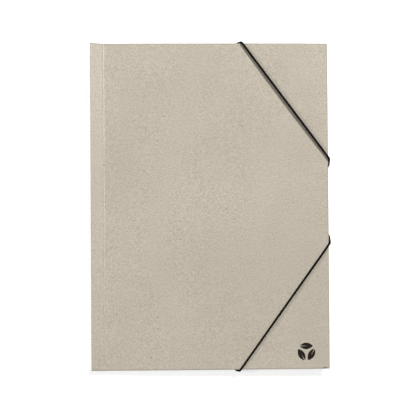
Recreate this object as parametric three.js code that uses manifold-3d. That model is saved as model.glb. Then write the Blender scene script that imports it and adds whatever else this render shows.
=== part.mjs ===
// A closed A4 document folder of recycled card, held shut by two round elastics across its fore-edge corners.
// It lies on its back with the front cover up: spine towards -X, top edge towards +Y. Sizes in millimetres.

import * as THREE from 'three';
import { mergeVertices } from 'three/addons/utils/BufferGeometryUtils.js';
import Module from 'manifold-3d';

const wasm = await Module();
wasm.setup();

// The card and the closed folder
const cardThickness = 0.7;
const coverWidth = 233;
const coverHeight = 320;
const spineHeight = 7.6;
const spineFoldRadius = 1.3;
const hingeStripWidth = 13;
const creaseBeadWidth = 1.4;
const creaseBeadHeight = 0.35;
const layerPlay = 0.3;

// The front cover bulges a little between the hinge crease and the corners that the elastics pull down
const coverBow = 0.6;
const bowRiseWidth = 43;
const bowFallWidth = 106;

// Flaps folded in over the back panel
const endFlapDepth = 58;
const sideFlapDepth = 52;
const flapCornerRadius = 8;
const flapTaper = 7;
const foldSetback = 0.5;
const foldSteps = 6;
const endFlapSpineGap = 16;
const endFlapForeGap = 2;
const sideFlapEndGap = 3;

// Metal tag that stops each end of an elastic behind its punched hole
const tagLength = 12;
const tagWidth = 2.8;
const tagThickness = 0.6;
const tagPlay = 0.3;

// Elastics: where each one crosses the cover's end, from its corner, and the fore-edge, from the middle of it
const elasticDiameter = 2;
const elasticPlay = 0.3;
const elasticSides = 8;
const elasticBend = 1.6;
const elasticBendSteps = 4;
const elasticBackRun = 20;
const elasticHolePlay = 0.5;
const topElastic = { fromCorner: 83.9, fromMiddle: 47.5 };
const bottomElastic = { fromCorner: 87.6, fromMiddle: 38.4 };

// Printed mark: a ring of leaves in one flat ink near the bottom right corner
const leafCount = 3;
const leafLength = 13;
const leafWidth = 6.2;
const leafRingRadius = 5.6;
const leafSlitWidth = 0.7;
const leafSlitShare = 0.62;
const inkThickness = 0.1;
const inkGap = 0.03;
const markFromFore = 22.9;
const markFromBottom = 16.9;

// Levels of the layers, upwards from the outer face of the back panel
const endFlapUnderside = cardThickness + 2 * tagPlay + tagThickness;
const sideFlapUnderside = endFlapUnderside + cardThickness + layerPlay;
const coverUnderside = sideFlapUnderside + cardThickness + layerPlay;
const coverTop = coverUnderside + cardThickness;

// Edges and lines across the folder
const foreEdge = coverWidth / 2;
const spineFace = -coverWidth / 2;
const topEdge = coverHeight / 2;
const creaseLine = spineFace + hingeStripWidth;
const bowStart = creaseLine + bowRiseWidth;
const bowEnd = foreEdge - bowFallWidth;
const coverFall = Math.atan2(coverBow, bowFallWidth);
const endFold = topEdge - foldSetback - (endFlapUnderside + cardThickness) / 2;
const sideFold = foreEdge - foldSetback - (sideFlapUnderside + cardThickness) / 2;
const elasticRadius = elasticDiameter / 2;
const elasticOffset = elasticRadius + elasticPlay;
const holeRadius = elasticRadius + elasticHolePlay;

const recycledCard = new THREE.MeshStandardMaterial({ color: 0xc6bdae, roughness: 0.9, metalness: 0 });
const coveredElastic = new THREE.MeshStandardMaterial({ color: 0x17171a, roughness: 0.75, metalness: 0 });
const tinnedSteel = new THREE.MeshStandardMaterial({ color: 0xb9bcc0, roughness: 0.35, metalness: 1 });
const blackInk = new THREE.MeshStandardMaterial({ color: 0x2a2522, roughness: 0.7, metalness: 0 });

const point = (x, y) => new THREE.Vector2(x, y);

function solid(geometry) {
  const bare = new THREE.BufferGeometry();
  bare.setAttribute('position', geometry.attributes.position);
  bare.setIndex(geometry.index);
  const merged = mergeVertices(bare);
  return new wasm.Manifold(new wasm.Mesh({
    numProp: 3,
    vertProperties: merged.attributes.position.array,
    triVerts: Uint32Array.from(merged.index.array),
  }));
}

function geometryOf(body) {
  const { vertProperties, triVerts } = body.getMesh();
  const geometry = new THREE.BufferGeometry();
  geometry.setAttribute('position', new THREE.BufferAttribute(vertProperties, 3));
  geometry.setIndex(new THREE.BufferAttribute(triVerts, 1));
  geometry.computeVertexNormals();
  return geometry;
}

// Points round a fold, clockwise from one angle down to another, in degrees
function foldArc(centre, radius, fromDegrees, toDegrees) {
  return Array.from({ length: foldSteps + 1 }, (unused, i) => {
    const angle = THREE.MathUtils.degToRad(THREE.MathUtils.lerp(fromDegrees, toDegrees, i / foldSteps));
    return point(centre.x + radius * Math.cos(angle), centre.y + radius * Math.sin(angle));
  });
}

// Card seen edge on: the outer face runs along the given points and the inner face lies to their right
function cardSection(outerFace) {
  const last = outerFace.length - 1;
  const innerFace = outerFace.map((here, i) => {
    const arriving = here.clone().sub(outerFace[Math.max(i - 1, 0)]).normalize();
    const leaving = outerFace[Math.min(i + 1, last)].clone().sub(here).normalize();
    const along = arriving.clone().add(leaving).normalize();
    const straightest = Math.max(along.dot(arriving), along.dot(leaving));
    return here.clone().add(point(along.y, -along.x).multiplyScalar(cardThickness / straightest));
  });
  return new THREE.Shape([...outerFace, ...innerFace.reverse()]);
}

// A section drawn in the XZ plane, run along Y about its middle
function alongY(section, length) {
  const geometry = new THREE.ExtrudeGeometry(section, { depth: length, bevelEnabled: false });
  return geometry.rotateX(Math.PI / 2).translate(0, length / 2, 0);
}

// A section drawn in the YZ plane, run along X about its middle
function alongX(section, length) {
  const geometry = new THREE.ExtrudeGeometry(section, { depth: length, bevelEnabled: false });
  return geometry.rotateX(Math.PI / 2).rotateZ(Math.PI / 2).translate(-length / 2, 0, 0);
}

// Front cover, hinge strip and spine, with a narrow lip that goes on as the back panel
function coverAndSpine() {
  const stripFall = THREE.MathUtils.radToDeg(Math.atan2(spineHeight - coverTop, hingeStripWidth));
  const bottomFold = point(spineFace + spineFoldRadius, spineFoldRadius);
  const topFold = point(spineFace + spineFoldRadius, spineHeight - spineFoldRadius);
  const outerFace = [
    point(bottomFold.x + cardThickness, 0),
    ...foldArc(bottomFold, spineFoldRadius, -90, -180),
    ...foldArc(topFold, spineFoldRadius, 180, 90 - stripFall),
    point(creaseLine, coverTop),
    point(bowStart, coverTop + coverBow),
    point(bowEnd, coverTop + coverBow),
    point(foreEdge, coverTop),
  ];
  return solid(alongY(cardSection(outerFace), coverHeight));
}

// The bead that the scoring rule leaves along the hinge crease, rooted in half the card's thickness
function creaseBead() {
  const half = creaseBeadWidth / 2;
  const root = coverTop - cardThickness / 2;
  const section = new THREE.Shape([
    point(creaseLine - half, root),
    point(creaseLine + half, root),
    point(creaseLine + half, coverTop),
    point(creaseLine + half / 2, coverTop + creaseBeadHeight),
    point(creaseLine - half / 2, coverTop + creaseBeadHeight),
    point(creaseLine - half, coverTop),
  ]);
  return solid(alongY(section, coverHeight));
}

function backPanel() {
  const left = spineFace + spineFoldRadius;
  const panel = new THREE.BoxGeometry(sideFold - left, 2 * endFold, cardThickness);
  return solid(panel.translate((left + sideFold) / 2, 0, cardThickness / 2));
}

// A flap whose fold line is the X axis, turned in over -Y: the round fold and the tapered panel.
// It is then turned about Z and moved to the panel's edge.
function flap({ foldLength, depth, underside, turn, foldMiddle }) {
  const top = underside + cardThickness;
  const foldSection = cardSection([
    point(-cardThickness, top),
    ...foldArc(point(0, top / 2), top / 2, 90, -90),
    point(-cardThickness, 0),
  ]);
  const half = foldLength / 2;
  const outline = new THREE.Shape();
  outline.moveTo(-half, 0);
  outline.lineTo(-half + flapTaper, flapCornerRadius - depth);
  outline.quadraticCurveTo(-half + flapTaper, -depth, -half + flapTaper + flapCornerRadius, -depth);
  outline.lineTo(half - flapTaper - flapCornerRadius, -depth);
  outline.quadraticCurveTo(half - flapTaper, -depth, half - flapTaper, flapCornerRadius - depth);
  outline.lineTo(half, 0);
  const options = { depth: cardThickness, bevelEnabled: false, curveSegments: foldSteps };
  const panel = new THREE.ExtrudeGeometry(outline, options).translate(0, 0, underside);
  const [fold, leaf] = [alongX(foldSection, foldLength), panel].map((geometry) => (
    solid(geometry.rotateZ(turn).translate(foldMiddle.x, foldMiddle.y, 0))
  ));
  return fold.add(leaf);
}

// The cover's upper face at a distance across the folder, on its slope towards the fore-edge
const coverHeightAt = (x) => coverTop + (foreEdge - x) * Math.tan(coverFall);

// Corners of an elastic's centre line, from the tag behind one hole, round the folder, to the other tag
function elasticCorners({ fromCorner, fromMiddle }, end) {
  const spread = fromCorner / (topEdge - fromMiddle);
  const endX = foreEdge - fromCorner - spread * elasticOffset;
  const foreY = fromMiddle - elasticOffset / spread;
  const outerY = topEdge + elasticOffset;
  const outerX = foreEdge + elasticOffset;
  const under = -elasticOffset;
  const frontAtEnd = coverHeightAt(endX) + elasticOffset;
  const frontAtFore = coverTop + elasticOffset;
  const inward = new THREE.Vector2(-spread, -1).setLength(elasticBackRun);
  const endTurn = new THREE.Vector2(endX - spread * coverTop, outerY);
  const foreTurn = new THREE.Vector2(outerX, foreY - coverTop / spread);
  const endHole = endTurn.clone().add(inward);
  const foreHole = foreTurn.clone().add(inward);
  return [
    new THREE.Vector3(endHole.x, end * endHole.y, cardThickness),
    new THREE.Vector3(endHole.x, end * endHole.y, under),
    new THREE.Vector3(endTurn.x, end * endTurn.y, under),
    new THREE.Vector3(endX, end * outerY, frontAtEnd),
    new THREE.Vector3(outerX, end * foreY, frontAtFore),
    new THREE.Vector3(foreTurn.x, end * foreTurn.y, under),
    new THREE.Vector3(foreHole.x, end * foreHole.y, under),
    new THREE.Vector3(foreHole.x, end * foreHole.y, cardThickness),
  ];
}

// The same line with every inner corner bent round
function bentRound(corners) {
  const last = corners.length - 1;
  const points = [corners[0]];
  for (let i = 1; i < last; i += 1) {
    const towards = (other) => other.clone().sub(corners[i]).setLength(elasticBend).add(corners[i]);
    const bend = new THREE.QuadraticBezierCurve3(towards(corners[i - 1]), corners[i], towards(corners[i + 1]));
    points.push(...bend.getPoints(elasticBendSteps));
  }
  return [...points, corners[last]];
}

// A route that is sampled at its own points, so the bends keep their steps and the straights need none
class ElasticRoute extends THREE.Curve {
  constructor(points) {
    super();
    this.points = points;
  }

  getPoint(t) {
    return this.points[Math.round(t * (this.points.length - 1))].clone();
  }

  getSpacedPoints() {
    return this.points;
  }

  getTangentAt(t) {
    const last = this.points.length - 1;
    const i = Math.round(t * last);
    const arriving = this.points[i].clone().sub(this.points[Math.max(i - 1, 0)]).normalize();
    const leaving = this.points[Math.min(i + 1, last)].clone().sub(this.points[i]).normalize();
    return arriving.add(leaving).normalize();
  }
}

function elasticMesh(name, corners) {
  const route = new ElasticRoute(bentRound(corners));
  const section = new THREE.Shape(Array.from({ length: elasticSides }, (unused, i) => {
    const angle = (2 * Math.PI * i) / elasticSides;
    return point(elasticRadius * Math.cos(angle), elasticRadius * Math.sin(angle));
  }));
  const steps = route.points.length - 1;
  const mesh = new THREE.Mesh(new THREE.ExtrudeGeometry(section, { extrudePath: route, steps }), coveredElastic);
  mesh.name = name;
  return mesh;
}

// A flat tag with round ends, laid across its punched hole
function endTagMesh(name, hole, turn) {
  const straight = (tagLength - tagWidth) / 2;
  const outline = new THREE.Shape();
  outline.absarc(straight, 0, tagWidth / 2, -Math.PI / 2, Math.PI / 2);
  outline.absarc(-straight, 0, tagWidth / 2, Math.PI / 2, (3 * Math.PI) / 2);
  const options = { depth: tagThickness, bevelEnabled: false, curveSegments: foldSteps };
  const mesh = new THREE.Mesh(new THREE.ExtrudeGeometry(outline, options), tinnedSteel);
  mesh.name = name;
  mesh.position.set(hole.x, hole.y, cardThickness + tagPlay);
  mesh.rotation.z = turn;
  return mesh;
}

function cardSheetMesh(holes) {
  const endFlapFrom = spineFace + endFlapSpineGap;
  const endFlapTo = sideFold - endFlapForeGap;
  const endFlap = { foldLength: endFlapTo - endFlapFrom, depth: endFlapDepth, underside: endFlapUnderside };
  const endFlapMiddle = (endFlapFrom + endFlapTo) / 2;
  const sideFlap = { foldLength: 2 * (endFold - sideFlapEndGap), depth: sideFlapDepth, underside: sideFlapUnderside };
  let sheet = coverAndSpine()
    .add(creaseBead())
    .add(backPanel())
    .add(flap({ ...endFlap, turn: 0, foldMiddle: point(endFlapMiddle, endFold) }))
    .add(flap({ ...endFlap, turn: Math.PI, foldMiddle: point(endFlapMiddle, -endFold) }))
    .add(flap({ ...sideFlap, turn: -Math.PI / 2, foldMiddle: point(sideFold, 0) }));
  for (const hole of holes) {
    const punch = new THREE.CylinderGeometry(holeRadius, holeRadius, 2 * cardThickness, 2 * elasticSides);
    punch.rotateX(Math.PI / 2).translate(hole.x, hole.y, cardThickness / 2);
    sheet = sheet.subtract(solid(punch));
  }
  const mesh = new THREE.Mesh(geometryOf(sheet), recycledCard);
  mesh.name = 'card_sheet';
  return mesh;
}

// One leaf pointing along +X, its tail slit open along the midrib
function leafMesh(name) {
  const half = leafLength / 2;
  const slitEnd = -half + leafLength * leafSlitShare;
  const outline = new THREE.Shape();
  outline.moveTo(-half, leafSlitWidth / 2);
  outline.quadraticCurveTo(0, leafWidth, half, 0);
  outline.quadraticCurveTo(0, -leafWidth, -half, -leafSlitWidth / 2);
  outline.lineTo(slitEnd, 0);
  const options = { depth: inkThickness, bevelEnabled: false, curveSegments: 2 * foldSteps };
  const mesh = new THREE.Mesh(new THREE.ExtrudeGeometry(outline, options), blackInk);
  mesh.name = name;
  return mesh;
}

// The ring of leaves, laid on the cover's slope towards the fore-edge
function printedMark() {
  const mark = new THREE.Group();
  const x = foreEdge - markFromFore;
  mark.position.set(x, markFromBottom - topEdge, coverHeightAt(x) + inkGap);
  mark.rotation.y = coverFall;
  for (let i = 0; i < leafCount; i += 1) {
    const place = new THREE.Group();
    place.rotation.z = (2 * Math.PI * i) / leafCount;
    const leaf = leafMesh(`printed_leaf_${i + 1}`);
    leaf.position.y = leafRingRadius;
    place.add(leaf);
    mark.add(place);
  }
  return mark;
}

// The elastics pass under the back panel, so the folder leans from its spine up onto their inner ends
function leanOnElastics(folder, corners) {
  const contact = Math.min(...corners.map((corner) => corner.x));
  folder.rotation.y = -Math.atan2(elasticOffset + elasticRadius, contact - spineFace - spineFoldRadius);
  folder.updateMatrixWorld(true);
  const box = new THREE.Box3().setFromObject(folder, true);
  const middle = box.getCenter(new THREE.Vector3());
  folder.position.set(-middle.x, -middle.y, -box.min.z);
}

const topCorners = elasticCorners(topElastic, 1);
const bottomCorners = elasticCorners(bottomElastic, -1);
const holes = [topCorners[0], topCorners.at(-1), bottomCorners[0], bottomCorners.at(-1)];

const folder = new THREE.Group();
folder.add(cardSheetMesh(holes));
folder.add(elasticMesh('elastic_top', topCorners));
folder.add(elasticMesh('elastic_bottom', bottomCorners));
holes.forEach((hole, i) => {
  const lengthwise = i % 2 === 0 ? 0 : Math.PI / 2;
  folder.add(endTagMesh(`elastic_end_tag_${i + 1}`, hole, lengthwise));
});
folder.add(printedMark());
leanOnElastics(folder, [...topCorners, ...bottomCorners]);

const model = new THREE.Group();
model.add(folder);

export default model;
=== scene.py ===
# A closed A4 document folder of recycled card, held shut by two round elastics
from math import atan2, ceil, cos, exp, pi, radians, sin, sqrt

import bmesh
import bpy
from mathutils import Matrix, Vector


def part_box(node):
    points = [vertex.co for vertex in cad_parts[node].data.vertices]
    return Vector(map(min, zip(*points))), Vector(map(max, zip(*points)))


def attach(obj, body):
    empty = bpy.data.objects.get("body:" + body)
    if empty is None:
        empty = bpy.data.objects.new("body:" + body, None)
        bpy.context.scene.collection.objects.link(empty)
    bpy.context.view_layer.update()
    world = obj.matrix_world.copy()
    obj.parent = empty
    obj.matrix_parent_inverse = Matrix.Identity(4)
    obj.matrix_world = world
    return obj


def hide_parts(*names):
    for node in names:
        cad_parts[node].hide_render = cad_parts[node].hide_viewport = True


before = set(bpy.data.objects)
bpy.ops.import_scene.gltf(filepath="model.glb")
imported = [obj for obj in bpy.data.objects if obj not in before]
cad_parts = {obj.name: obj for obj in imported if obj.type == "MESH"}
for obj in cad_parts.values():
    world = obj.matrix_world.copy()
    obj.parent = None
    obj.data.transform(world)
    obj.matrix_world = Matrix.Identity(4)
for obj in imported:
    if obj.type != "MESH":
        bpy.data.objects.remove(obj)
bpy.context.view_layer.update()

MM = 0.001

# Driving sizes of the folder, in millimetres, as in the CAD model
CARD = 0.7
COVER_WIDTH = 233.0
COVER_HEIGHT = 320.0
SPINE_FOLD = 1.3
HINGE_STRIP = 13.0
LAYER_PLAY = 0.3
TAG_THICKNESS = 0.6
COVER_BOW = 0.6
BOW_RISE = 43.0
BOW_FALL = 106.0
END_FLAP_DEPTH = 58.0
SIDE_FLAP_DEPTH = 52.0
FLAP_CORNER = 8.0
FLAP_TAPER = 7.0
FOLD_SETBACK = 0.5
END_FLAP_SPINE_GAP = 16.0
END_FLAP_FORE_GAP = 2.0
SIDE_FLAP_END_GAP = 3.0
ELASTIC_RADIUS = 1.0
ELASTIC_PLAY = 0.3
ELASTIC_BACK_RUN = 20.0
HOLE_RADIUS = 1.5
TOP_ELASTIC = {"from_corner": 83.9, "from_middle": 47.5, "end": 1}
BOTTOM_ELASTIC = {"from_corner": 87.6, "from_middle": 38.4, "end": -1}
END_TAGS = 4
MARK_FROM_FORE = 22.9
MARK_FROM_BOTTOM = 16.9

# Levels of the layers above the outer face of the back panel, and lines across the folder
END_FLAP_UNDERSIDE = CARD + 2 * LAYER_PLAY + TAG_THICKNESS
SIDE_FLAP_UNDERSIDE = END_FLAP_UNDERSIDE + CARD + LAYER_PLAY
COVER_TOP = SIDE_FLAP_UNDERSIDE + 2 * CARD + LAYER_PLAY
FORE_EDGE = COVER_WIDTH / 2
SPINE_FACE = -COVER_WIDTH / 2
TOP_EDGE = COVER_HEIGHT / 2
CREASE = SPINE_FACE + HINGE_STRIP
END_FOLD = TOP_EDGE - FOLD_SETBACK - (END_FLAP_UNDERSIDE + CARD) / 2
SIDE_FOLD = FORE_EDGE - FOLD_SETBACK - (SIDE_FLAP_UNDERSIDE + CARD) / 2

# The hinge strip stands up more at the folder's top end; it is hollow, and falls to a bead and a scored line
SPINE_TOP_AT_TOP_END = 8.8
SPINE_TOP_AT_BOTTOM_END = 5.4
SPINE_CREST_FOLD = 0.8
CREST_EASE_DEGREES = 40.0
STRIP_HOLLOW = 1.35
BEAD_HEIGHT = 0.5
BEAD_HALF_WIDTH = 0.5
BEAD_REACH = 4 * BEAD_HALF_WIDTH
SCORE_FROM_BEAD = 1.25
SCORE_DEPTH = 0.22
SCORE_SHARE_AT_BOTTOM_END = 0.5

# Soft swells and dips of the front cover: middle across, middle up, reach across, reach up, height
COVER_SWELLS = [
    (-20.0, -25.0, 75.0, 90.0, 0.9),
    (112.0, 156.0, 16.0, 22.0, -0.9),
    (112.0, -156.0, 14.0, 18.0, -0.35),
]
ELASTIC_DISH = 0.6
ELASTIC_DISH_REACH = 16.0
CUT_EDGE_CRUSH = 0.2

# How far apart the lines of the card's mesh lie, and into how many steps its bends are cut
FIRST_STRIP_LINE = 0.6
STRIP_SPACING = 1.2
COVER_SPACING = 3.2
LENGTHWISE_SPACING = 4.2
PANEL_SPACING = 5.0
FLAP_ROW_SPACING = 4.0
SPINE_BANDS = 4
SPINE_FOLD_STEPS = 7
FLAP_FOLD_STEPS = 12
FLAP_CORNER_STEPS = 8
HOLE_SIDES = 40

# The turn of a cut edge that is softened, and the turns that are shaded as a sharp line, in degrees
CUT_CORNER = 55
CARD_SHARP = 40
CORD_SHARP = 60


def linear(hex_colour):
    """An sRGB hex colour as the linear RGBA that the shaders take."""
    parts = [int(hex_colour[i:i + 2], 16) / 255 for i in (1, 3, 5)]
    return tuple(p / 12.92 if p <= 0.04045 else ((p + 0.055) / 1.055) ** 2.4 for p in parts) + (1.0,)


def blend(a, b, share):
    return a + (b - a) * share


def eased(share):
    """0 to 1 with a level start and end."""
    share = min(max(share, 0.0), 1.0)
    return share * share * (3 - 2 * share)


def evenly(low, high, spacing):
    """Values from low to high, both included, no further apart than the spacing."""
    rounding = 0.001
    count = max(1, ceil((high - low) / spacing - rounding))
    return [blend(low, high, i / count) for i in range(count + 1)]


# The elastics' routes, in the folder's own frame

def elastic_corners(from_corner, from_middle, end, play):
    """Corners of an elastic's centre line, from one tag out through its hole and round to the other tag."""
    offset = ELASTIC_RADIUS + ELASTIC_PLAY
    near = ELASTIC_RADIUS + play
    spread = from_corner / (TOP_EDGE - from_middle)
    end_x = FORE_EDGE - from_corner - spread * offset
    fore_y = from_middle - offset / spread
    fall = COVER_BOW / BOW_FALL
    front_at_end = COVER_TOP + (FORE_EDGE - end_x) * fall
    inward = Vector((-spread, -1)).normalized() * ELASTIC_BACK_RUN
    end_turn = Vector((end_x - spread * COVER_TOP, TOP_EDGE + offset))
    fore_turn = Vector((FORE_EDGE + offset, fore_y - COVER_TOP / spread))
    end_hole = end_turn + inward
    fore_hole = fore_turn + inward
    drawn_in = offset - near
    front_end_x = end_x + spread * drawn_in
    front_fore_y = fore_y + drawn_in / spread
    return [
        Vector((end_hole.x, end * end_hole.y, CARD)),
        Vector((end_hole.x, end * end_hole.y, -near)),
        Vector((end_turn.x, end * (end_turn.y - drawn_in), -near)),
        Vector((front_end_x, end * (TOP_EDGE + near), front_at_end + near)),
        Vector((FORE_EDGE + near, end * front_fore_y, COVER_TOP + near)),
        Vector((fore_turn.x - drawn_in, end * fore_turn.y, -near)),
        Vector((fore_hole.x, end * fore_hole.y, -near)),
        Vector((fore_hole.x, end * fore_hole.y, CARD)),
    ]


# The folder leans from its spine up onto the inner ends of the elastics, which pass under the back panel

def folder_place():
    """Takes the folder's own frame, in millimetres, to the row frame, in metres."""
    routes = [elastic_corners(**which, play=ELASTIC_PLAY) for which in (TOP_ELASTIC, BOTTOM_ELASTIC)]
    contact = min(corner.x for route in routes for corner in route)
    lean = atan2(2 * ELASTIC_RADIUS + ELASTIC_PLAY, contact - SPINE_FACE - SPINE_FOLD)
    low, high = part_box("card_sheet")
    right = FORE_EDGE * cos(lean) - (COVER_TOP - CARD) * sin(lean)
    top = FORE_EDGE * sin(lean) + COVER_TOP * cos(lean)
    shift = Vector((high.x / MM - right, (low.y + high.y) / 2 / MM, high.z / MM - top))
    return Matrix.Scale(MM, 4) @ Matrix.Translation(shift) @ Matrix.Rotation(-lean, 4, "Y")


PLACE = folder_place()


def finish_piece(name, bm, materials, nodes):
    """A bmesh in the folder's frame becomes a piece in the row frame that stands for its CAD nodes."""
    mesh = bpy.data.meshes.new(name)
    bm.transform(PLACE)
    bm.to_mesh(mesh)
    bm.free()
    piece = bpy.data.objects.new(name, mesh)
    bpy.context.scene.collection.objects.link(piece)
    for material in materials:
        mesh.materials.append(material)
    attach(piece, "root")
    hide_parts(*nodes)
    return piece


def apply_modifiers(piece):
    """Bakes the piece's modifiers into its mesh."""
    graph = bpy.context.evaluated_depsgraph_get()
    shaped = bpy.data.meshes.new_from_object(piece.evaluated_get(graph))
    piece.modifiers.clear()
    piece.data = shaped


def shade_smooth(mesh, sharp_degrees):
    mesh.shade_smooth()
    mesh.set_sharp_from_angle(angle=radians(sharp_degrees))


# The card sheet

def elastic_dish(x, y):
    """How far the cover sinks between the two edges that an elastic pulls down."""
    depth = 0.0
    for which in (TOP_ELASTIC, BOTTOM_ELASTIC):
        start = Vector((FORE_EDGE - which["from_corner"], which["end"] * TOP_EDGE))
        finish = Vector((FORE_EDGE, which["end"] * which["from_middle"]))
        along = finish - start
        spot = Vector((x, y)) - start
        share = min(max(spot.dot(along) / along.length_squared, 0.0), 1.0)
        off = (spot - along * share).length
        depth += ELASTIC_DISH * sin(pi * share) * exp(-((off / ELASTIC_DISH_REACH) ** 2))
    return depth


def cover_height(x, y):
    """Height of the cover's outer face: a low bow with soft swells, dished under each elastic."""
    rise = eased((x - CREASE) / BOW_RISE)
    bow = rise if x < CREASE + BOW_RISE else min(1.0, (FORE_EDGE - x) / BOW_FALL)
    height = COVER_TOP + COVER_BOW * bow - elastic_dish(x, y)
    for mid_x, mid_y, reach_x, reach_y, swell in COVER_SWELLS:
        height += rise * swell * exp(-(((x - mid_x) / reach_x) ** 2) - ((y - mid_y) / reach_y) ** 2)
    return height


def spine_top(y):
    """Height of the spine's upper fold, which is more open at the folder's top end."""
    return blend(SPINE_TOP_AT_BOTTOM_END, SPINE_TOP_AT_TOP_END, eased((y + TOP_EDGE) / COVER_HEIGHT))


def fold_arc(centre_x, centre_z, radius, start, stop):
    """Points round a fold of the spine, angles in degrees."""
    angles = [radians(blend(start, stop, i / SPINE_FOLD_STEPS)) for i in range(SPINE_FOLD_STEPS + 1)]
    return [(centre_x + radius * cos(a), centre_z + radius * sin(a)) for a in angles]


def cover_lines():
    """Places across the cover where the mesh has a line, close together over the bead of the crease."""
    bead = evenly(CREASE - BEAD_REACH, CREASE + BEAD_REACH, BEAD_HALF_WIDTH / 2)
    strip = evenly(SPINE_FACE + SPINE_FOLD + FIRST_STRIP_LINE, bead[0], STRIP_SPACING)
    cover = evenly(bead[-1], FORE_EDGE, COVER_SPACING)
    return strip[:-1] + bead + cover[1:]


def spine_and_cover_section(y):
    """Outer face of the card, seen along Y, from the back panel round the spine to the fore-edge."""
    left = SPINE_FACE + SPINE_FOLD
    crest = spine_top(y)
    crest_centre = crest - SPINE_CREST_FOLD
    crease_height = cover_height(CREASE, y)
    strip_width = CREASE - left
    slope = STRIP_HOLLOW * (crest - crease_height) / strip_width
    crest_end = 90 - slope * CREST_EASE_DEGREES
    points = fold_arc(left, SPINE_FOLD, SPINE_FOLD, -90, -180)
    points += [(SPINE_FACE, blend(SPINE_FOLD, crest_centre, i / SPINE_BANDS)) for i in range(1, SPINE_BANDS)]
    points += fold_arc(SPINE_FACE + SPINE_CREST_FOLD, crest_centre, SPINE_CREST_FOLD, 180, crest_end)
    for x in cover_lines():
        if x < CREASE:
            share = (x - left) / strip_width
            height = blend(crest, crease_height, 1 - (1 - share) ** STRIP_HOLLOW)
        else:
            height = cover_height(x, y)
        points.append((x, height))
    return points


def flap_rows(underside, depth):
    """Rows of a folded-in flap: how far out from the fold line, how high, and how deep along the flap."""
    radius = (underside + CARD) / 2
    turns = [pi * i / FLAP_FOLD_STEPS for i in range(FLAP_FOLD_STEPS + 1)]
    rows = [(radius * sin(a), radius - radius * cos(a), 0.0) for a in turns]
    into_corner = [sin(pi / 2 * i / FLAP_CORNER_STEPS) for i in range(1, FLAP_CORNER_STEPS + 1)]
    depths = evenly(0.0, depth - FLAP_CORNER, FLAP_ROW_SPACING)[1:]
    depths += [depth - FLAP_CORNER * (1 - share) for share in into_corner]
    return rows + [(-d, 2 * radius, d) for d in depths]


def flap_half_length(half, depth, full_depth):
    """Half the flap's length at a depth: slanted ends, then round corners."""
    tapered = half - FLAP_TAPER * min(1.0, depth / (full_depth - FLAP_CORNER))
    into_corner = max(0.0, depth - (full_depth - FLAP_CORNER))
    return tapered - FLAP_CORNER + sqrt(max(0.0, FLAP_CORNER ** 2 - into_corner ** 2))


class Weld:
    """Adds vertices and faces to a bmesh, giving the same vertex back for the same micrometre."""

    def __init__(self):
        self.bm = bmesh.new()
        self.known = {}

    def vertex(self, x, y, z):
        key = (round(x, 3), round(y, 3), round(z, 3))
        if key not in self.known:
            self.known[key] = self.bm.verts.new((x, y, z))
        return self.known[key]

    def sheet(self, rows):
        """Faces between rows of points that all have the same count, facing rows cross columns."""
        grid = [[self.vertex(*spot) for spot in row] for row in rows]
        for row, after in zip(grid, grid[1:]):
            for j in range(len(row) - 1):
                corners = [row[j], after[j], after[j + 1], row[j + 1]]
                if len(set(corners)) == 4:
                    self.bm.faces.new(corners)


def add_flap(weld, fold_line, out, columns, underside, depth):
    """A flap turned in over the back panel from a fold line; columns are places along that line."""
    along = Vector((out.y, -out.x))
    middle = (columns[0] + columns[-1]) / 2
    half = abs(columns[-1] - columns[0]) / 2
    rows = []
    for outward, height, deep in flap_rows(underside, depth):
        squeeze = flap_half_length(half, deep, depth) / half
        row = []
        for column in columns:
            spot = out * (fold_line + outward) + along * (middle + (column - middle) * squeeze)
            row.append((spot.x, spot.y, height))
        rows.append(row)
    weld.sheet(rows)


def card_surface():
    """The whole sheet's outer face: back panel, spine, hinge strip, cover and the three flaps."""
    weld = Weld()
    side_end = END_FOLD - SIDE_FLAP_END_GAP
    up = [-TOP_EDGE, -END_FOLD] + evenly(-side_end, side_end, LENGTHWISE_SPACING) + [END_FOLD, TOP_EDGE]
    flap_from = SPINE_FACE + END_FLAP_SPINE_GAP
    flap_to = SIDE_FOLD - END_FLAP_FORE_GAP
    panel_left = SPINE_FACE + SPINE_FOLD
    flap_lines = evenly(flap_from, flap_to, PANEL_SPACING)
    across = evenly(panel_left, flap_from, PANEL_SPACING)[:-1] + flap_lines + [SIDE_FOLD]
    weld.sheet([[(x, y, 0.0) for y in up[1:-1]] for x in reversed(across)])
    sections = [spine_and_cover_section(y) for y in up]
    weld.sheet([[(x, y, z) for y, (x, z) in zip(up, line)] for line in zip(*sections)])
    add_flap(weld, END_FOLD, Vector((0, 1)), flap_lines, END_FLAP_UNDERSIDE, END_FLAP_DEPTH)
    mirrored = [-x for x in reversed(flap_lines)]
    add_flap(weld, END_FOLD, Vector((0, -1)), mirrored, END_FLAP_UNDERSIDE, END_FLAP_DEPTH)
    add_flap(weld, SIDE_FOLD, Vector((1, 0)), up[2:-2], SIDE_FLAP_UNDERSIDE, SIDE_FLAP_DEPTH)
    return weld.bm


def score_crease(piece, outer_count):
    """The scoring rule's bead, and the fine line pressed beside it, on the outer face alone."""
    to_folder = PLACE.inverted()
    upward = PLACE.to_3x3() @ Vector((0, 0, 1))
    for vertex in piece.data.vertices[:outer_count]:
        spot = to_folder @ vertex.co
        off = spot.x - CREASE
        if abs(off) < BEAD_REACH and spot.z > COVER_TOP / 2:
            bead = BEAD_HEIGHT * exp(-((off / BEAD_HALF_WIDTH) ** 2))
            share = blend(SCORE_SHARE_AT_BOTTOM_END, 1.0, eased((spot.y + TOP_EDGE) / COVER_HEIGHT))
            line = share * SCORE_DEPTH * exp(-(((off + SCORE_FROM_BEAD) / BEAD_HALF_WIDTH) ** 2))
            vertex.co += upward * (bead - line)


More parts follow.
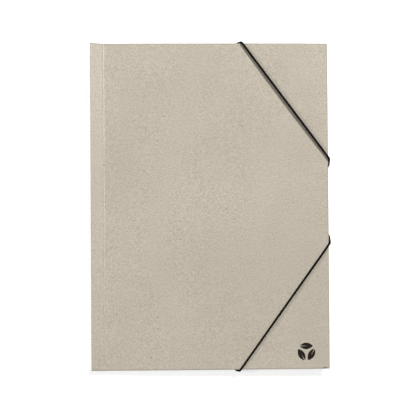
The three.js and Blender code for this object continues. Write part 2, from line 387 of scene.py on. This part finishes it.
def punch(holes):
    """A cutter with one round pin for each punched hole."""
    bm = bmesh.new()
    pin = {"segments": HOLE_SIDES, "radius1": HOLE_RADIUS, "radius2": HOLE_RADIUS, "depth": 2 * CARD}
    for hole in holes:
        spot = Matrix.Translation((hole.x, hole.y, CARD / 2))
        bmesh.ops.create_cone(bm, cap_ends=True, matrix=spot, **pin)
    bm.transform(PLACE)
    mesh = bpy.data.meshes.new("punch")
    bm.to_mesh(mesh)
    bm.free()
    return bpy.data.objects.new("punch", mesh)


def card_sheet(face_material, edge_material):
    """One sheet of card, cut, scored, folded and punched, with slightly softened cut edges."""
    materials = [face_material, edge_material]
    piece = finish_piece("folded_card", card_surface(), materials, ["card_sheet"])
    outer_count = len(piece.data.vertices)
    thick = piece.modifiers.new("thickness", "SOLIDIFY")
    thick.thickness = CARD * MM
    thick.offset = -1
    thick.use_even_offset = True
    thick.material_offset_rim = 1
    apply_modifiers(piece)
    score_crease(piece, outer_count)
    holes = []
    for which in (TOP_ELASTIC, BOTTOM_ELASTIC):
        corners = elastic_corners(**which, play=ELASTIC_PLAY)
        holes += [corners[0], corners[-1]]
    cutter = punch(holes)
    bpy.context.scene.collection.objects.link(cutter)
    cut = piece.modifiers.new("punched_holes", "BOOLEAN")
    cut.operation = "DIFFERENCE"
    cut.solver = "EXACT"
    cut.object = cutter
    soft = piece.modifiers.new("cut_edges", "BEVEL")
    soft.width = CUT_EDGE_CRUSH * MM
    soft.segments = 2
    soft.material = 1
    soft.limit_method = "ANGLE"
    soft.angle_limit = radians(CUT_CORNER)
    apply_modifiers(piece)
    bpy.data.objects.remove(cutter, do_unlink=True)
    shade_smooth(piece.data, CARD_SHARP)


# The elastics, whose braid has as many strands wound one way as the other

STRANDS = 6
BRAID_PITCH = 1.1
BRAID_RELIEF = 0.15
BRAID_CREST = 1.08
BRAID_SQUARENESS = 1.5
CORD_SIDES = 36
RING_SPACING = 0.16
PULLED_PLAY = 0.06
CORD_BEND = 1.7
CORD_BEND_STEPS = 12
SHORTEST_SIDE = 0.1


def bent_round(corners):
    """The line through the corners with every inner corner bent round."""
    points = [corners[0]]
    for before, corner, after in zip(corners, corners[1:], corners[2:]):
        start = corner + (before - corner).normalized() * CORD_BEND
        stop = corner + (after - corner).normalized() * CORD_BEND
        for i in range(CORD_BEND_STEPS + 1):
            t = i / CORD_BEND_STEPS
            points.append(start * (1 - t) ** 2 + corner * 2 * t * (1 - t) + stop * t * t)
    return points + [corners[-1]]


def evenly_spaced(points, spacing):
    """The same line with its points a fixed distance apart."""
    result = [points[0].copy()]
    carried = 0.0
    for start, stop in zip(points, points[1:]):
        length = (stop - start).length
        reach = spacing - carried
        while reach <= length:
            result.append(start.lerp(stop, reach / length))
            reach += spacing
        carried = (carried + length) % spacing
    return result


def braid_radius(turn, along):
    """The cord's radius where two families of strands cross at a slant."""
    one = abs(cos(pi * (STRANDS * turn + along / BRAID_PITCH)))
    other = abs(cos(pi * (STRANDS * turn - along / BRAID_PITCH)))
    return BRAID_CREST - BRAID_RELIEF * (1 - max(one, other) ** BRAID_SQUARENESS)


def elastic_cord(name, which, material, node):
    """A round elastic in its braided cover, pulled tight round the folder."""
    route = evenly_spaced(bent_round(elastic_corners(**which, play=PULLED_PLAY)), RING_SPACING)
    bm = bmesh.new()
    side = Vector((0, 0, 1))
    rings = []
    for i, spot in enumerate(route):
        ahead = (route[min(i + 1, len(route) - 1)] - route[max(i - 1, 0)]).normalized()
        side = side - ahead * side.dot(ahead)
        side = side.normalized() if side.length > SHORTEST_SIDE else ahead.orthogonal().normalized()
        other = ahead.cross(side)
        ring = []
        for k in range(CORD_SIDES):
            angle = 2 * pi * k / CORD_SIDES
            radius = braid_radius(k / CORD_SIDES, i * RING_SPACING)
            ring.append(bm.verts.new(spot + (side * cos(angle) + other * sin(angle)) * radius))
        rings.append(ring)
    for near, far in zip(rings, rings[1:]):
        for k in range(CORD_SIDES):
            after = (k + 1) % CORD_SIDES
            bm.faces.new((near[k], near[after], far[after], far[k]))
    bm.faces.new(list(reversed(rings[0])))
    bm.faces.new(rings[-1])
    piece = finish_piece(name, bm, [material], [node])
    shade_smooth(piece.data, CORD_SHARP)


# The printed mark, a ring of three leaves

LEAVES = 3
LEAF_LENGTH = 13.0
LEAF_WIDTH = 6.2
LEAF_RING = 5.6
LEAF_SLIT = 0.7
LEAF_SLIT_SHARE = 0.62
LEAF_ROWS = 32
LEAF_COLUMNS = 5
INK_FILM = 0.03
INK_LIFT = 0.012


def printed_leaf(number, material):
    """One leaf of the ring, a thin film of ink on the card, its tail split along the midrib."""
    turn = Matrix.Rotation(2 * pi * (number - 1) / LEAVES, 2)
    centre = Vector((FORE_EDGE - MARK_FROM_FORE, MARK_FROM_BOTTOM - TOP_EDGE))
    weld = Weld()
    for half in (1, -1):
        rows = []
        for i in range(LEAF_ROWS + 1):
            t = i / LEAF_ROWS
            x = LEAF_LENGTH * (t - 0.5)
            outer = 2 * LEAF_WIDTH * t * (1 - t) + LEAF_SLIT / 2 * (1 - t) ** 2
            slit = LEAF_SLIT / 2 * max(0.0, 1 - t / LEAF_SLIT_SHARE)
            row = []
            for k in range(LEAF_COLUMNS + 1):
                from_midrib = blend(slit, outer, k / LEAF_COLUMNS)
                spot = centre + turn @ Vector((x, half * from_midrib + LEAF_RING))
                row.append((spot.x, spot.y, cover_height(spot.x, spot.y) + INK_LIFT + INK_FILM))
            rows.append(row if half > 0 else row[::-1])
        weld.sheet(rows)
    name = f"leaf_print_{number}"
    piece = finish_piece(name, weld.bm, [material], [f"printed_leaf_{number}"])
    film = piece.modifiers.new("film", "SOLIDIFY")
    film.thickness = INK_FILM * MM
    film.offset = -1
    apply_modifiers(piece)


# Materials

SOFT_STEP = {"interpolation_type": "SMOOTHSTEP"}
MULTIPLY = {"operation": "MULTIPLY"}
MAXIMUM = {"operation": "MAXIMUM"}
COLOURS = {"data_type": "RGBA"}


def new_material(name):
    """A material with an empty node tree."""
    material = bpy.data.materials.new(name)
    material.use_nodes = True
    material.node_tree.nodes.clear()
    return material, material.node_tree


def add_node(tree, kind, settings=None, **inputs):
    """A node with its settings and links. An input is named, or numbered as _0, and takes a value,
    another node's output, or a node, for the first output that it uses. A mix of colours takes its
    share at _0, the colour below at _6 and the one above at _7."""
    node = tree.nodes.new("ShaderNode" + kind)
    for key, value in (settings or {}).items():
        setattr(node, key, value)
    for key, value in inputs.items():
        name = key.replace("_", " ").strip()
        socket = node.inputs[int(name) if name.isdigit() else name]
        if isinstance(value, bpy.types.Node):
            value = next(output for output in value.outputs if output.enabled)
        if isinstance(value, bpy.types.NodeSocket):
            tree.links.new(value, socket)
        else:
            socket.default_value = value
    return node


def millimetres(tree, scale=(1, 1, 1), turn=0.0, shift=0.0):
    """The piece's own coordinates counted in millimetres, stretched, turned and moved for one pattern."""
    place = add_node(tree, "TexCoord").outputs["Object"]
    spread = [stretch / MM for stretch in scale]
    move = [shift] * 3
    return add_node(tree, "Mapping", Vector=place, Scale=spread, Rotation=(0, 0, turn), Location=move)


# The board's pattern, in millimetres: felt grain, two sizes of cloud, specks of print and stray fibres
GRAIN = 1.4
CLOUD = 26.0
SLOW_CLOUD = 95.0
SPECK_SPACING = 7.5
FIBRE_LENGTH = 5.0
FIBRE_WIDTH = 0.45

# Its painted highlights and painted shade: where each is, in millimetres, and how strong, from 0 to 1
TOP_END_SHARE_FROM = -1.1 * TOP_EDGE
TOP_END_SHARE_TO = 0.9 * TOP_EDGE
STRIP_HIGHLIGHT_STRENGTH = 0.2
STRIP_HIGHLIGHT_STARTS_PAST_CREASE = 0.1
STRIP_HIGHLIGHT_FULL_BEFORE_CREASE = 0.3
BEAD_HIGHLIGHT_STRENGTH = 0.62
BEAD_HIGHLIGHT_AT_BOTTOM_END = 0.3
SCORE_DARKNESS = 0.2
RIM_WIDTH = 1.3
RIM_CORE = 0.4
RIM_DARKNESS = 0.45
RIM_SHARE_BUT_FOR_TOP = 0.67
CORNER_SHADE_FROM_FORE = 4.6
CORNER_SHADE_FROM_BOTTOM = 0.9
CORNER_SHADE_LENGTH = 5.2
CORNER_SHADE_DEPTH = 1.1
CORNER_SHADE_DARKNESS = 0.6

# The painted corner shade fades between these squares of the distance from its middle, counted in half its
# size
CORNER_SHADE_ENDS_AT = 1.4
CORNER_SHADE_FULL_AT = 0.2


def toward_top_end(tree, axes):
    """0 at the folder's bottom end, rising to 1 at its top end, where the painted highlights and shade
    beside the spine are strongest.
    """
    along = {"From_Min": TOP_END_SHARE_FROM * MM, "From_Max": TOP_END_SHARE_TO * MM}
    return add_node(tree, "MapRange", SOFT_STEP, Value=axes["Y"], **along)


def front_layers(tree, axes, spot):
    """1 in the layers nearer to the front at a spot on the cover, and 0 in those nearer to the back."""
    height = {"From_Min": spot.z / 2, "From_Max": spot.z / 2 + MM}
    return add_node(tree, "MapRange", SOFT_STEP, Value=axes["Z"], **height)


def line_on_cover(tree, axes, x, edge, core):
    """1 along a line on the cover that runs beside the spine, fading from its core to its edge."""
    line = PLACE @ Vector((x, 0, COVER_TOP))
    off = add_node(tree, "Math", {"operation": "SUBTRACT"}, _0=axes["X"], _1=line.x)
    off = add_node(tree, "Math", {"operation": "ABSOLUTE"}, _0=off)
    mark = add_node(tree, "MapRange", SOFT_STEP, Value=off, From_Min=edge * MM, From_Max=core * MM)
    return add_node(tree, "Math", MULTIPLY, _0=mark, _1=front_layers(tree, axes, line))


def painted_strip_highlight(tree, axes):
    """Painted highlight on the strip beside the spine, paler than the cover, most at the top end."""
    crease = PLACE @ Vector((CREASE, 0, COVER_TOP))
    start = crease.x + STRIP_HIGHLIGHT_STARTS_PAST_CREASE * MM
    full = crease.x - STRIP_HIGHLIGHT_FULL_BEFORE_CREASE * MM
    strip = add_node(tree, "MapRange", SOFT_STEP, Value=axes["X"], From_Min=start, From_Max=full)
    strip_toward_top = add_node(tree, "Math", MULTIPLY, _0=strip, _1=toward_top_end(tree, axes))
    return add_node(tree, "Math", MULTIPLY, _0=front_layers(tree, axes, crease), _1=strip_toward_top)


def painted_bead_highlight(tree, axes):
    """Painted highlight along the crest of the scored bead, most at the top end."""
    least = BEAD_HIGHLIGHT_AT_BOTTOM_END
    bead_toward_top = add_node(tree, "MapRange", Value=toward_top_end(tree, axes), To_Min=least, To_Max=1.0)
    crest = line_on_cover(tree, axes, CREASE, edge=0.65, core=0.3)
    return add_node(tree, "Math", MULTIPLY, _0=crest, _1=bead_toward_top)


def score_shade(tree, axes):
    """Painted shade along the scored line beside the bead, most at the top end."""
    line = line_on_cover(tree, axes, CREASE - SCORE_FROM_BEAD, edge=0.7, core=0.2)
    score_toward_top = add_node(tree, "Math", {"operation": "POWER"}, _0=toward_top_end(tree, axes), _1=2.0)
    return add_node(tree, "Math", MULTIPLY, _0=line, _1=score_toward_top)


def painted_rim_shade(tree, axes):
    """Painted shade along the cover's cut edges, strongest along the top."""
    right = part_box("card_sheet")[1].x
    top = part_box("card_sheet")[1].y
    across = {"From_Min": right - RIM_WIDTH * MM, "From_Max": right - RIM_CORE * MM}
    up = {"From_Min": top - RIM_WIDTH * MM, "From_Max": top - RIM_CORE * MM}
    fore_rim = add_node(tree, "MapRange", SOFT_STEP, Value=axes["X"], **across)
    from_middle = add_node(tree, "Math", {"operation": "ABSOLUTE"}, _0=axes["Y"])
    end_rims = add_node(tree, "MapRange", SOFT_STEP, Value=from_middle, **up)
    top_rim = add_node(tree, "MapRange", SOFT_STEP, Value=axes["Y"], **up)
    rims = add_node(tree, "Math", MAXIMUM, _0=fore_rim, _1=end_rims)
    rims = add_node(tree, "Math", MULTIPLY, _0=rims, _1=RIM_SHARE_BUT_FOR_TOP)
    return add_node(tree, "Math", MAXIMUM, _0=rims, _1=top_rim)


def painted_corner_shade(tree, axes):
    """Painted shade on a spot at the cover's bottom right corner."""
    middle = PLACE @ Vector((FORE_EDGE - CORNER_SHADE_FROM_FORE, CORNER_SHADE_FROM_BOTTOM - TOP_EDGE, COVER_TOP))
    across = 1 / (CORNER_SHADE_LENGTH / 2 * MM)
    up = 1 / (CORNER_SHADE_DEPTH * MM)
    place = add_node(tree, "TexCoord").outputs["Object"]
    to_middle = (-middle.x * across, -middle.y * up, 0)
    corner_shade_place = add_node(tree, "Mapping", Vector=place, Scale=(across, up, 0), Location=to_middle)
    off = add_node(tree, "VectorMath", {"operation": "DOT_PRODUCT"}, _0=corner_shade_place, _1=corner_shade_place)
    fade = {"From_Min": CORNER_SHADE_ENDS_AT, "From_Max": CORNER_SHADE_FULL_AT}
    mark = add_node(tree, "MapRange", SOFT_STEP, Value=off, **fade)
    return add_node(tree, "Math", MULTIPLY, _0=front_layers(tree, axes, middle), _1=mark)


def recycled_card():
    """Uncoated grey-beige board of recycled pulp: matt, with a felt grain, stray fibres and dark specks."""
    material, tree = new_material("recycled_card_board")
    grain = add_node(tree, "TexNoise", Vector=millimetres(tree), Scale=1 / GRAIN, Detail=2.0, Roughness=0.6)
    tone = add_node(tree, "MapRange", Value=grain, From_Min=0.34, From_Max=0.66)
    colour = add_node(tree, "Mix", COLOURS, _0=tone, _6=linear("#B2A99A"), _7=linear("#D2C8B9"))
    cloud = add_node(tree, "TexNoise", Vector=millimetres(tree, shift=40), Scale=1 / CLOUD, Detail=2.0)
    tone = add_node(tree, "MapRange", Value=cloud, From_Min=0.35, From_Max=0.65, To_Max=0.3)
    colour = add_node(tree, "Mix", COLOURS, _0=tone, _6=colour, _7=linear("#C9C1B1"))
    slow = add_node(tree, "TexNoise", Vector=millimetres(tree, shift=11), Scale=1 / SLOW_CLOUD, Detail=1.0)
    tone = add_node(tree, "MapRange", Value=slow, From_Min=0.4, From_Max=0.62, To_Max=0.25)
    colour = add_node(tree, "Mix", COLOURS, _0=tone, _6=colour, _7=linear("#B3AA99"))
    stretch = (1 / FIBRE_LENGTH, 1 / FIBRE_WIDTH, 1 / FIBRE_LENGTH)
    fibres = [(0.5, "#A2998A", 0.5), (2.1, "#E2DACB", 0.45), (1.2, "#9C9384", 0.4)]
    for turn, fibre_colour, strength in fibres:
        place = millimetres(tree, stretch, turn, shift=10 * turn)
        fibre = add_node(tree, "TexNoise", Vector=place, Scale=1.0, Detail=1.0, Distortion=0.7)
        hair = add_node(tree, "MapRange", Value=fibre, From_Min=0.68, From_Max=0.76, To_Max=strength)
        colour = add_node(tree, "Mix", COLOURS, _0=hair, _6=colour, _7=linear(fibre_colour))
    place = add_node(tree, "TexCoord").outputs["Object"]
    axes = add_node(tree, "SeparateXYZ", Vector=place).outputs
    # Painted highlights on the hinge strip and bead; painted shade along the score, the cover's cut edges
    # and its bottom right corner
    marks = [
        (painted_strip_highlight, STRIP_HIGHLIGHT_STRENGTH, "#EAE2D4"),
        (painted_bead_highlight, BEAD_HIGHLIGHT_STRENGTH, "#F1EADD"),
        (score_shade, SCORE_DARKNESS, "#958B7C"),
        (painted_rim_shade, RIM_DARKNESS, "#6E6454"),
        (painted_corner_shade, CORNER_SHADE_DARKNESS, "#4C463C"),
    ]
    for mark, strength, mark_colour in marks:
        share = add_node(tree, "Math", MULTIPLY, _0=mark(tree, axes), _1=strength)
        colour = add_node(tree, "Mix", COLOURS, _0=share, _6=colour, _7=linear(mark_colour))
    cells = add_node(tree, "TexVoronoi", Vector=millimetres(tree, shift=7), Scale=1 / SPECK_SPACING)
    dots = add_node(tree, "MapRange", Value=cells, From_Min=0.045, From_Max=0.09, To_Min=1.0, To_Max=0.0)
    chance = add_node(tree, "SeparateColor", Color=cells.outputs["Color"])
    rare = add_node(tree, "MapRange", Value=chance, From_Min=0.55, From_Max=0.95, To_Max=0.95)
    speck = add_node(tree, "Math", MULTIPLY, _0=dots, _1=rare)
    colour = add_node(tree, "Mix", COLOURS, _0=speck, _6=colour, _7=linear("#5E5346"))
    place = millimetres(tree, shift=3)
    felt = add_node(tree, "TexNoise", Vector=place, Scale=2.6, Detail=4.0, Roughness=0.6)
    bump = add_node(tree, "Bump", Strength=0.35, Distance=0.05 * MM, Height=felt)
    gloss = {"Roughness": 0.88, "Specular_IOR_Level": 0.3}
    shader = add_node(tree, "BsdfPrincipled", Base_Color=colour, Normal=bump, **gloss)
    add_node(tree, "OutputMaterial", Surface=shader)
    return material


def card_edge():
    """The cut edge of the same board: its pressed layers show as fine darker and paler lines."""
    material, tree = new_material("recycled_card_cut_edge")
    plies = add_node(tree, "TexNoise", Vector=millimetres(tree, (0.25, 0.25, 6.0)), Scale=1.0, Detail=2.0)
    tone = add_node(tree, "MapRange", Value=plies, From_Min=0.35, From_Max=0.65)
    colour = add_node(tree, "Mix", COLOURS, _0=tone, _6=linear("#82786B"), _7=linear("#A59B8C"))
    fuzz = add_node(tree, "TexNoise", Vector=millimetres(tree), Scale=5.0, Detail=3.0)
    bump = add_node(tree, "Bump", Strength=0.5, Distance=0.06 * MM, Height=fuzz)
    gloss = {"Roughness": 0.95, "Specular_IOR_Level": 0.2}
    shader = add_node(tree, "BsdfPrincipled", Base_Color=colour, Normal=bump, **gloss)
    add_node(tree, "OutputMaterial", Surface=shader)
    return material


def covered_elastic():
    """Black polyester yarn braided over rubber: matt, with a faint sheen on the strands."""
    material, tree = new_material("braided_black_elastic")
    yarn = add_node(tree, "TexNoise", Vector=millimetres(tree), Scale=7.0, Detail=2.0)
    tone = add_node(tree, "MapRange", Value=yarn, From_Min=0.35, From_Max=0.7)
    colour = add_node(tree, "Mix", COLOURS, _0=tone, _6=linear("#030303"), _7=linear("#0F0E0D"))
    bump = add_node(tree, "Bump", Strength=0.4, Distance=0.03 * MM, Height=yarn)
    gloss = {"Roughness": 0.8, "Specular_IOR_Level": 0.08, "Sheen_Weight": 0.02, "Sheen_Roughness": 0.5}
    shader = add_node(tree, "BsdfPrincipled", Base_Color=colour, Normal=bump, **gloss)
    add_node(tree, "OutputMaterial", Surface=shader)
    return material


def tinned_steel():
    """Thin tinned steel strip, stamped: bright and slightly clouded, with fine rolling lines."""
    material, tree = new_material("tinned_steel_strip")
    lines = add_node(tree, "TexNoise", Vector=millimetres(tree, (0.6, 9.0, 0.6)), Scale=1.0, Detail=2.0)
    tone = add_node(tree, "MapRange", Value=lines, From_Min=0.3, From_Max=0.7)
    colour = add_node(tree, "Mix", COLOURS, _0=tone, _6=linear("#B4B7BA"), _7=linear("#CFD1D3"))
    clouded = add_node(tree, "MapRange", Value=lines, To_Min=0.26, To_Max=0.42)
    shader = add_node(tree, "BsdfPrincipled", Base_Color=colour, Roughness=clouded, Metallic=1.0)
    add_node(tree, "OutputMaterial", Surface=shader)
    return material


def black_ink():
    """Brown-black offset ink soaked into rough board: flat, a little thin where the fibres stand up."""
    material, tree = new_material("brown_black_ink")
    soak = add_node(tree, "TexNoise", Vector=millimetres(tree), Scale=1.8, Detail=3.0, Roughness=0.6)
    tone = add_node(tree, "MapRange", Value=soak, From_Min=0.4, From_Max=0.8)
    colour = add_node(tree, "Mix", COLOURS, _0=tone, _6=linear("#16110E"), _7=linear("#332C26"))
    bump = add_node(tree, "Bump", Strength=0.3, Distance=0.04 * MM, Height=soak)
    gloss = {"Roughness": 0.8, "Specular_IOR_Level": 0.12}
    shader = add_node(tree, "BsdfPrincipled", Base_Color=colour, Normal=bump, **gloss)
    add_node(tree, "OutputMaterial", Surface=shader)
    return material


# Camera, light and floor; the camera's tilt is in degrees, its lens in millimetres, the floor in metres

CAMERA_PLACE = Vector((-44.0, -24.4, 1000.0)) * MM
CAMERA_TILT = (1.20, -2.46, -0.34)
CAMERA_LENS = 86.97
CAMERA_SENSOR = 36.0
AMBIENT = 0.16
FLOOR_COLOUR = "#F2F2F2"
FLOOR_HALF_SIZE = 8.0
FLOOR_LIFT = 0.6
LIFT_GROWS_FROM = 0.35
LIFT_IS_WHOLE_AT = 1.3


def photo_camera():
    """Looks straight down on the cover from about a metre, a touch from the spine and the bottom edge."""
    data = bpy.data.cameras.new("camera")
    data.lens = CAMERA_LENS
    data.sensor_width = CAMERA_SENSOR
    camera = bpy.data.objects.new("camera", data)
    camera.location = CAMERA_PLACE
    camera.rotation_euler = [radians(angle) for angle in CAMERA_TILT]
    bpy.context.scene.collection.objects.link(camera)
    bpy.context.scene.camera = camera


def soft_lamp(name, azimuth, elevation, distance, size, share):
    """A square soft box aimed at the folder; share is how much of a white card's full tone it gives."""
    flat = distance * cos(radians(elevation))
    height = distance * sin(radians(elevation))
    data = bpy.data.lights.new(name, "AREA")
    data.size = size
    data.energy = share * pi ** 2 * distance ** 2 / sin(radians(elevation))
    lamp = bpy.data.objects.new(name, data)
    lamp.location = (flat * sin(radians(azimuth)), flat * cos(radians(azimuth)), height)
    lamp.rotation_euler = (-lamp.location).to_track_quat("-Z", "Y").to_euler()
    bpy.context.scene.collection.objects.link(lamp)


def seen_directly(tree):
    """1 for what is seen straight, in a gloss or through glass, and 0 for what only gives light."""
    path = add_node(tree, "LightPath").outputs
    seen = add_node(tree, "Math", MAXIMUM, _0=path["Is Camera Ray"], _1=path["Is Glossy Ray"])
    return add_node(tree, "Math", MAXIMUM, _0=seen, _1=path["Is Transmission Ray"])


def white_world():
    """Even light from all round, and plain white where the floor ends."""
    world = bpy.data.worlds.new("white_studio")
    world.use_nodes = True
    tree = world.node_tree
    tree.nodes.clear()
    strength = add_node(tree, "MapRange", Value=seen_directly(tree), To_Min=AMBIENT, To_Max=1.0)
    background = add_node(tree, "Background", Color=(1, 1, 1, 1), Strength=strength)
    add_node(tree, "OutputWorld", Surface=background)
    bpy.context.scene.world = world


def white_floor():
    """A white table top that keeps the folder's soft shadow, and is lifted to plain white further out."""
    material, tree = new_material("white_table")
    diffuse = add_node(tree, "BsdfDiffuse", Color=linear(FLOOR_COLOUR))
    place = add_node(tree, "TexCoord").outputs["Object"]
    reach = add_node(tree, "VectorMath", {"operation": "LENGTH"}, _0=place)
    growth = {"From_Min": LIFT_GROWS_FROM, "From_Max": LIFT_IS_WHOLE_AT, "To_Min": FLOOR_LIFT, "To_Max": 1.0}
    level = add_node(tree, "MapRange", SOFT_STEP, Value=reach, **growth)
    strength = add_node(tree, "Math", MULTIPLY, _0=level, _1=seen_directly(tree))
    lift = add_node(tree, "Emission", Color=(1, 1, 1, 1), Strength=strength)
    both = add_node(tree, "AddShader", _0=diffuse, _1=lift)
    add_node(tree, "OutputMaterial", Surface=both)
    bm = bmesh.new()
    bmesh.ops.create_grid(bm, x_segments=1, y_segments=1, size=FLOOR_HALF_SIZE)
    mesh = bpy.data.meshes.new("white_floor")
    bm.to_mesh(mesh)
    bm.free()
    mesh.materials.append(material)
    floor = bpy.data.objects.new("white_floor", mesh)
    bpy.context.scene.collection.objects.link(floor)


photo_camera()
soft_lamp("main_lamp", azimuth=35, elevation=38, distance=3.3, size=0.7, share=0.64)
soft_lamp("fill_lamp", azimuth=-90, elevation=30, distance=3.0, size=0.8, share=0.2)
white_world()
white_floor()
bpy.context.scene.view_settings.view_transform = "Standard"

card_sheet(recycled_card(), card_edge())
braid = covered_elastic()
elastic_cord("braided_elastic_top", TOP_ELASTIC, braid, "elastic_top")
elastic_cord("braided_elastic_bottom", BOTTOM_ELASTIC, braid, "elastic_bottom")
ink = black_ink()
for number in range(1, LEAVES + 1):
    printed_leaf(number, ink)
steel = tinned_steel()
for number in range(1, END_TAGS + 1):
    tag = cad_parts[f"elastic_end_tag_{number}"]
    tag.data.materials.clear()
    tag.data.materials.append(steel)
